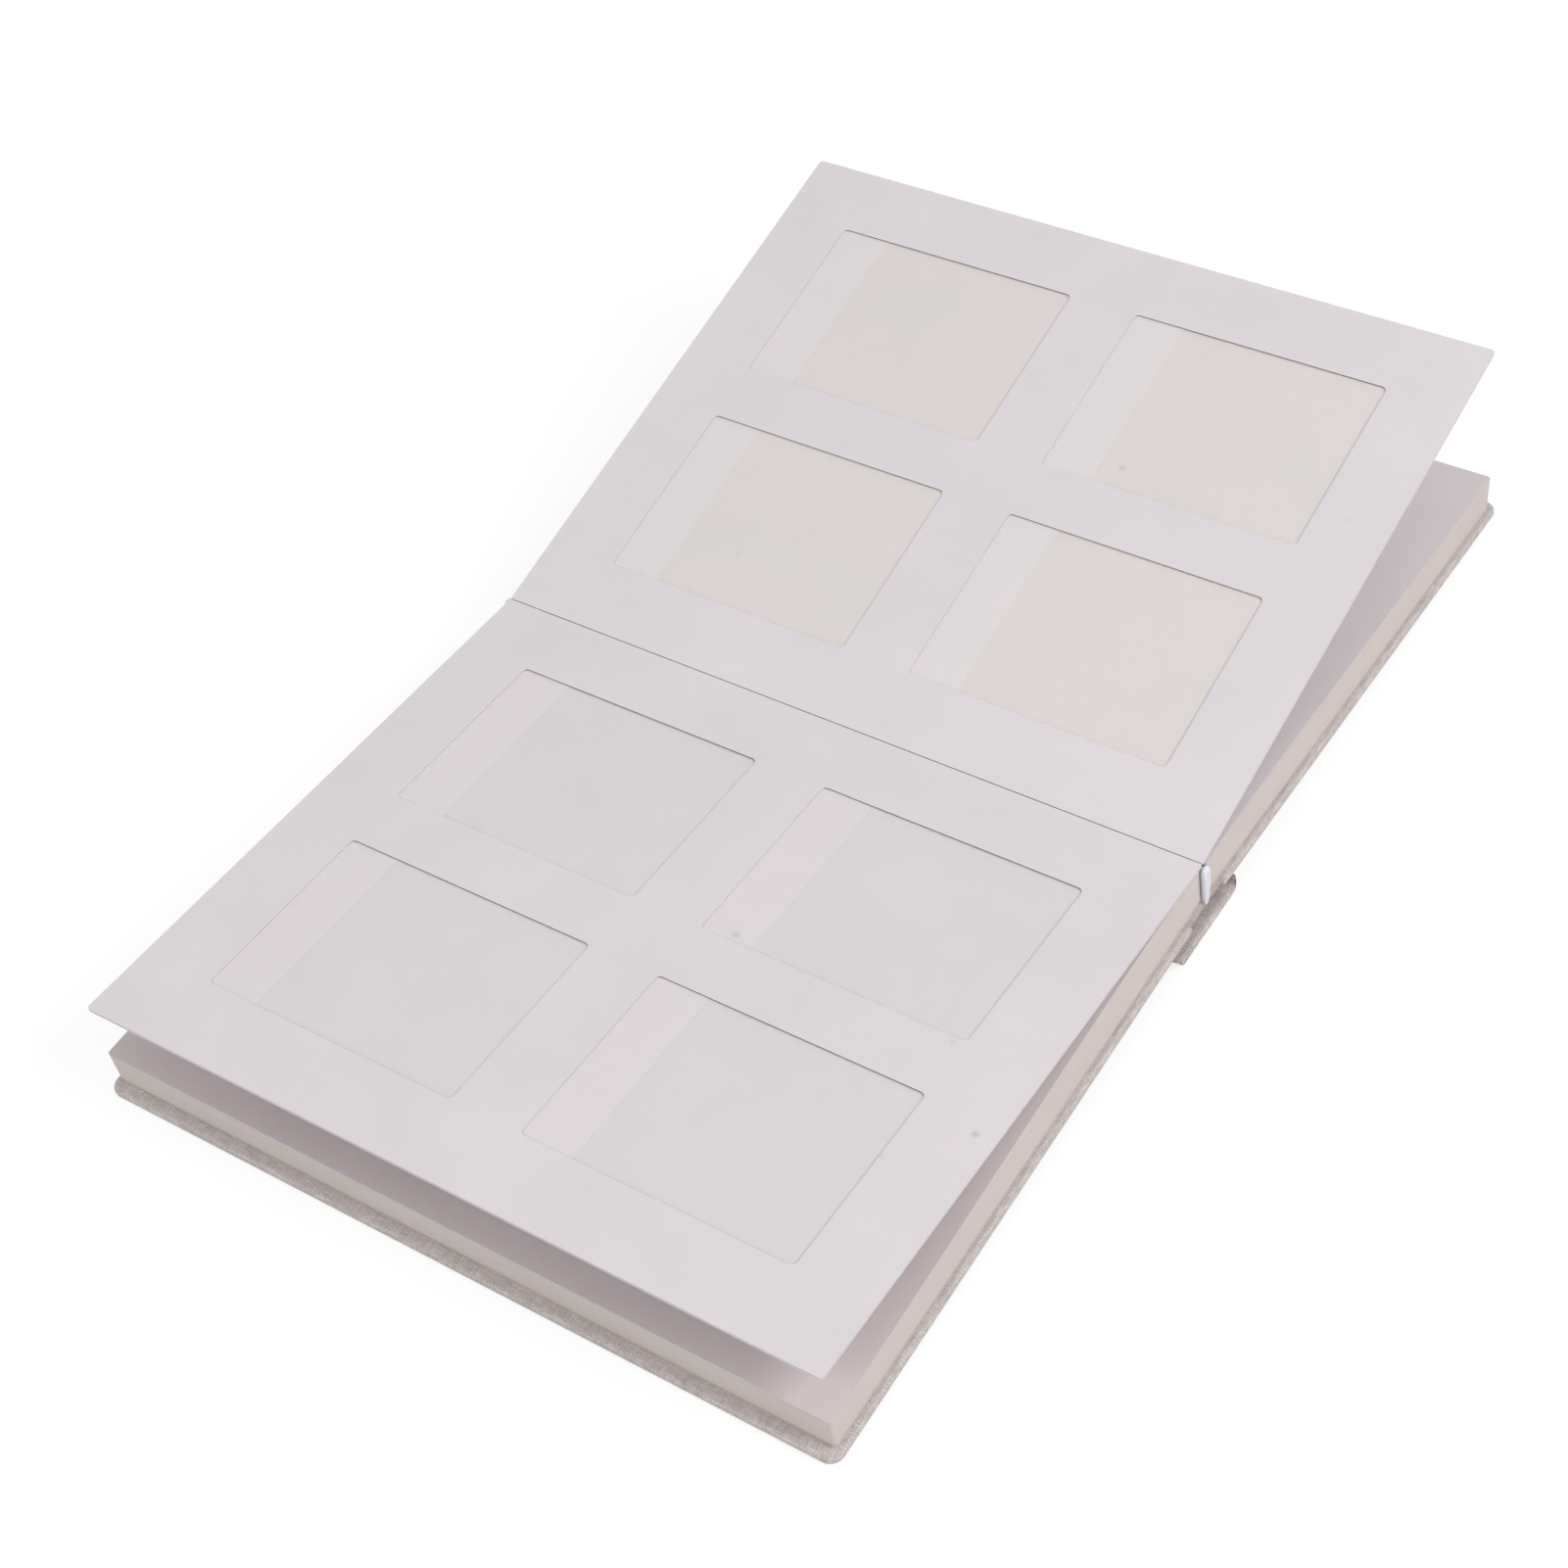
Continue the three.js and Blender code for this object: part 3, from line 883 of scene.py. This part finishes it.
def band_piece(end_name, sign):
    """A headband: a rolled ribbon edge that runs up one block's back, over, and down the other."""
    low, high = span(f"right_headband_{end_name}", 1, -SLOPE)
    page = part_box("right_page_stack")[1].y
    centre_y = sign * (page + 0.1 * MM + BAND_DEEP)
    a = BAND_HALF_SPREAD
    foot = low[2] - BAND_FOOT
    shoulder = high[2] + 0.5 * MM - BAND_WIDE - a
    path = []
    for side in (1, -1):
        points = []
        for i in range(10):
            t = i / 9
            points.append((side, a, foot + (shoulder - foot) * t))
        for i in range(1, 8 if side > 0 else 7):
            angle = math.radians(90 * i / 7)
            points.append((side, a * math.cos(angle), shoulder + a * math.sin(angle)))
        path += points if side > 0 else points[::-1]
    centres = [place(s, -SLOPE, u, centre_y, n) for s, u, n in path]
    bm = bmesh.new()
    layer = bm.loops.layers.uv.new("cloth")
    around = 16
    rows = []
    ys = Vector((0, 1, 0))
    travelled = 0.0
    distances = []
    for i, c in enumerate(centres):
        d = (centres[min(i + 1, len(centres) - 1)] - centres[max(i - 1, 0)]).normalized()
        if i:
            travelled += (c - centres[i - 1]).length
        distances.append(travelled)
        out = ys.cross(d).normalized()
        end_share = min(i, len(centres) - 1 - i)
        grown = 0.6 + 0.4 * min(1.0, end_share / 2)
        row = []
        for k in range(around):
            turn_k = 2 * math.pi * k / around
            c_k, s_k = math.cos(turn_k), math.sin(turn_k)
            deep = math.copysign(abs(c_k) ** 0.75, c_k) * BAND_DEEP * grown
            wide = math.copysign(abs(s_k) ** 0.75, s_k) * BAND_WIDE * grown
            at = c + ys * deep + out * wide
            if path[i][2] <= shoulder:
                at.x = path[i][0] * max(path[i][0] * at.x, BAND_SEAM)
            row.append(bm.verts.new(at))
        rows.append(row)
    for i in range(len(rows) - 1):
        for k in range(around):
            j = (k + 1) % around
            f = bm.faces.new((rows[i][k], rows[i][j], rows[i + 1][j], rows[i + 1][k]))
            uvs = (
                (distances[i], k * 0.3 * MM), (distances[i], (k + 1) * 0.3 * MM),
                (distances[i + 1], (k + 1) * 0.3 * MM), (distances[i + 1], k * 0.3 * MM),
            )
            for loop, uv in zip(f.loops, uvs):
                loop[layer].uv = uv
    bm.faces.new(rows[0])
    bm.faces.new(rows[-1])
    tail = sign * (page - BAND_REACH)
    thin = 0.09 * MM
    sheets = []
    for offset in (-thin, thin):
        row_near, row_far = [], []
        for i, c in enumerate(centres):
            d = (centres[min(i + 1, len(centres) - 1)] - centres[max(i - 1, 0)]).normalized()
            out = ys.cross(d).normalized()
            p = c + out * offset
            row_near.append(bm.verts.new((p.x, centre_y, p.z)))
            row_far.append(bm.verts.new((p.x, tail, p.z)))
        sheets.append((row_near, row_far))
    for i in range(len(centres) - 1):
        for near, far in sheets:
            f = bm.faces.new((near[i], near[i + 1], far[i + 1], far[i]))
            uvs = ((distances[i], 0), (distances[i + 1], 0),
                   (distances[i + 1], BAND_REACH), (distances[i], BAND_REACH))
            for loop, uv in zip(f.loops, uvs):
                loop[layer].uv = uv
        for row in (0, 1):
            a_row, b_row = sheets[0][row], sheets[1][row]
            bm.faces.new((a_row[i], a_row[i + 1], b_row[i + 1], b_row[i]))
    for i in (0, -1):
        bm.faces.new((sheets[0][0][i], sheets[1][0][i], sheets[1][1][i], sheets[0][1][i]))
    piece = finish_piece(bm, f"headband_{end_name}", None, "headband_cloth", [band_ribbon], 60)
    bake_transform(piece)
    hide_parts(f"right_headband_{end_name}", f"left_headband_{end_name}")


for side_name in SIDES:
    leaf_pieces(side_name)
    stack_pieces(side_name)
    cover_piece(side_name)
    joint_piece(side_name)
spine_piece()
band_piece("head", 1)
band_piece("tail", -1)


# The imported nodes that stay
def dress(name, surface):
    data = frame["nodes"][name].data
    data.materials.clear()
    data.materials.append(surface)


for side_name in SIDES:
    dress(f"{side_name}_endpaper", endpaper_paper)
    dress(f"{side_name}_back_lining", lining_linen)
dress("spine_liner", liner_paper)


# Floor, light and camera
def white_to_camera(nodes, links, share, lit, strength):
    """Adds plain white for the rays that a camera, mirror or glass sends."""
    seen = node(nodes, "ShaderNodeLightPath")
    any_ray = maths(
        nodes, links, "MAXIMUM", seen.outputs["Is Camera Ray"],
        maths(nodes, links, "MAXIMUM", seen.outputs["Is Glossy Ray"],
              seen.outputs["Is Transmission Ray"]),
    )
    glow = node(nodes, "ShaderNodeEmission")
    glow.inputs["Strength"].default_value = strength
    mix = node(nodes, "ShaderNodeMixShader")
    links.new(maths(nodes, links, "MULTIPLY", any_ray, share), mix.inputs[0])
    links.new(lit, mix.inputs[1])
    links.new(glow.outputs[0], mix.inputs[2])
    return mix.outputs[0]


floor_material = bpy.data.materials.new("floor")
floor_material.use_nodes = True
floor_nodes, floor_links = floor_material.node_tree.nodes, floor_material.node_tree.links
floor_nodes.clear()
floor_lit = node(floor_nodes, "ShaderNodeBsdfDiffuse")
floor_lit.inputs["Color"].default_value = (0.86, 0.86, 0.86, 1.0)
floor_out = node(floor_nodes, "ShaderNodeOutputMaterial")
floor_links.new(
    white_to_camera(floor_nodes, floor_links, 0.72, floor_lit.outputs[0], 1.12),
    floor_out.inputs["Surface"],
)
bm = bmesh.new()
bmesh.ops.create_grid(bm, x_segments=4, y_segments=4, size=4.0)
floor_mesh = bpy.data.meshes.new("floor")
bm.to_mesh(floor_mesh)
bm.free()
floor_mesh.materials.append(floor_material)
floor = bpy.data.objects.new("floor", floor_mesh)
floor.location.z = -0.02 * MM
bpy.context.scene.collection.objects.link(floor)

world = bpy.data.worlds.new("studio")
bpy.context.scene.world = world
world.use_nodes = True
wn, wl = world.node_tree.nodes, world.node_tree.links
wn.clear()
sky = node(wn, "ShaderNodeBackground")
sky.inputs["Color"].default_value = (1.0, 1.0, 1.0, 1.0)
sky.inputs["Strength"].default_value = 0.55
world_out = node(wn, "ShaderNodeOutputWorld")
white = node(wn, "ShaderNodeBackground")
white.inputs["Strength"].default_value = 1.0
white.inputs["Color"].default_value = (1.0, 1.0, 1.0, 1.0)
seen = node(wn, "ShaderNodeLightPath")
world_ray = maths(
    wn, wl, "MAXIMUM", seen.outputs["Is Camera Ray"],
    maths(wn, wl, "MAXIMUM", seen.outputs["Is Glossy Ray"],
          seen.outputs["Is Transmission Ray"]),
)
world_mix = node(wn, "ShaderNodeMixShader")
wl.new(world_ray, world_mix.inputs[0])
wl.new(sky.outputs[0], world_mix.inputs[1])
wl.new(white.outputs[0], world_mix.inputs[2])
wl.new(world_mix.outputs[0], world_out.inputs["Surface"])


def area_light(name, place_at, aim, size, power, colour):
    data = bpy.data.lights.new(name, "AREA")
    data.shape = "DISK"
    data.size = size
    data.energy = power
    data.color = colour
    made = bpy.data.objects.new(name, data)
    made.location = place_at
    made.rotation_mode = "QUATERNION"
    made.rotation_quaternion = (Vector(aim) - Vector(place_at)).to_track_quat("-Z", "Y")
    bpy.context.scene.collection.objects.link(made)


area_light("key", (0.15, -1.25, 1.2), (0, 0, 0), 0.9, 12.8, (1.0, 0.99, 0.98))
area_light("fill", (-1.15, 0.1, 1.05), (0, 0, 0), 1.0, 4.8, (0.98, 0.99, 1.0))

# The camera stands where the photograph was taken from
CAMERA_AZIMUTH = math.radians(-50.026)
CAMERA_ELEVATION = math.radians(46.12)
CAMERA_ROLL = math.radians(-9.399)
CAMERA_FOCAL = 2963.4 / 1601
CAMERA_TARGET = Vector((-6.21, 13.51, 0)) * MM
CAMERA_DISTANCE = 711.78 * MM
ca, sa = math.cos(CAMERA_AZIMUTH), math.sin(CAMERA_AZIMUTH)
ce, se = math.cos(CAMERA_ELEVATION), math.sin(CAMERA_ELEVATION)
back = Vector((sa * ce, -ca * ce, se))
right = Vector((ca, sa, 0))
up = back.cross(right)
turned_right = right * math.cos(CAMERA_ROLL) + up * math.sin(CAMERA_ROLL)
turned_up = up * math.cos(CAMERA_ROLL) - right * math.sin(CAMERA_ROLL)
camera_data = bpy.data.cameras.new("camera")
camera_data.sensor_width = 36
camera_data.lens = 36 * CAMERA_FOCAL
camera_data.clip_start = 0.01
camera_data.clip_end = 20
camera = bpy.data.objects.new("camera", camera_data)
bpy.context.scene.collection.objects.link(camera)
turn = Matrix((turned_right, turned_up, back)).transposed().to_4x4()
camera.matrix_world = Matrix.Translation(CAMERA_TARGET + back * CAMERA_DISTANCE) @ turn
bpy.context.scene.camera = camera
bpy.context.scene.view_settings.view_transform = "Standard"
